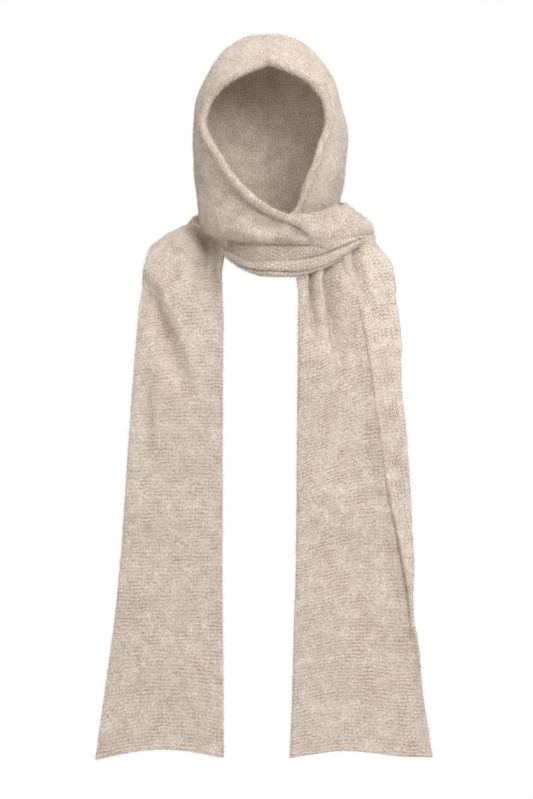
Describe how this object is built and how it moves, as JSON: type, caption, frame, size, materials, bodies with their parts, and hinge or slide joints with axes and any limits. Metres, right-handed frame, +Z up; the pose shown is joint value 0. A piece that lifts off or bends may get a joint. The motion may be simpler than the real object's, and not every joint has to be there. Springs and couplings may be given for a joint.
{
  "type": "snood hood",
  "caption": "Knitted hooded scarf: an open-faced hood whose strips cross at the throat, wrap the neck in soft folds and hang down in front as long ends.",
  "frame": {"origin": "inside of the crown, where the top of a head touches it", "axes": "+Z up, -Y out through the face opening, +X to the viewer's right"},
  "size_m": [0.4543, 0.2247, 0.9818],
  "materials": {
    "oat_knit": "brushed knit, soft and fuzzy"
  },
  "bodies": {
    "root": {"hood_left": "oat_knit", "hood_left_edge": "oat_knit", "hood_right": "oat_knit", "hood_right_edge": "oat_knit", "crown_seam": "oat_knit", "neck_wrap": "oat_knit", "left_end": "oat_knit", "left_end_edge": "oat_knit", "left_end_hem": "oat_knit", "right_end": "oat_knit", "right_end_edge": "oat_knit", "right_end_hem": "oat_knit"}
  },
  "joints": []
}
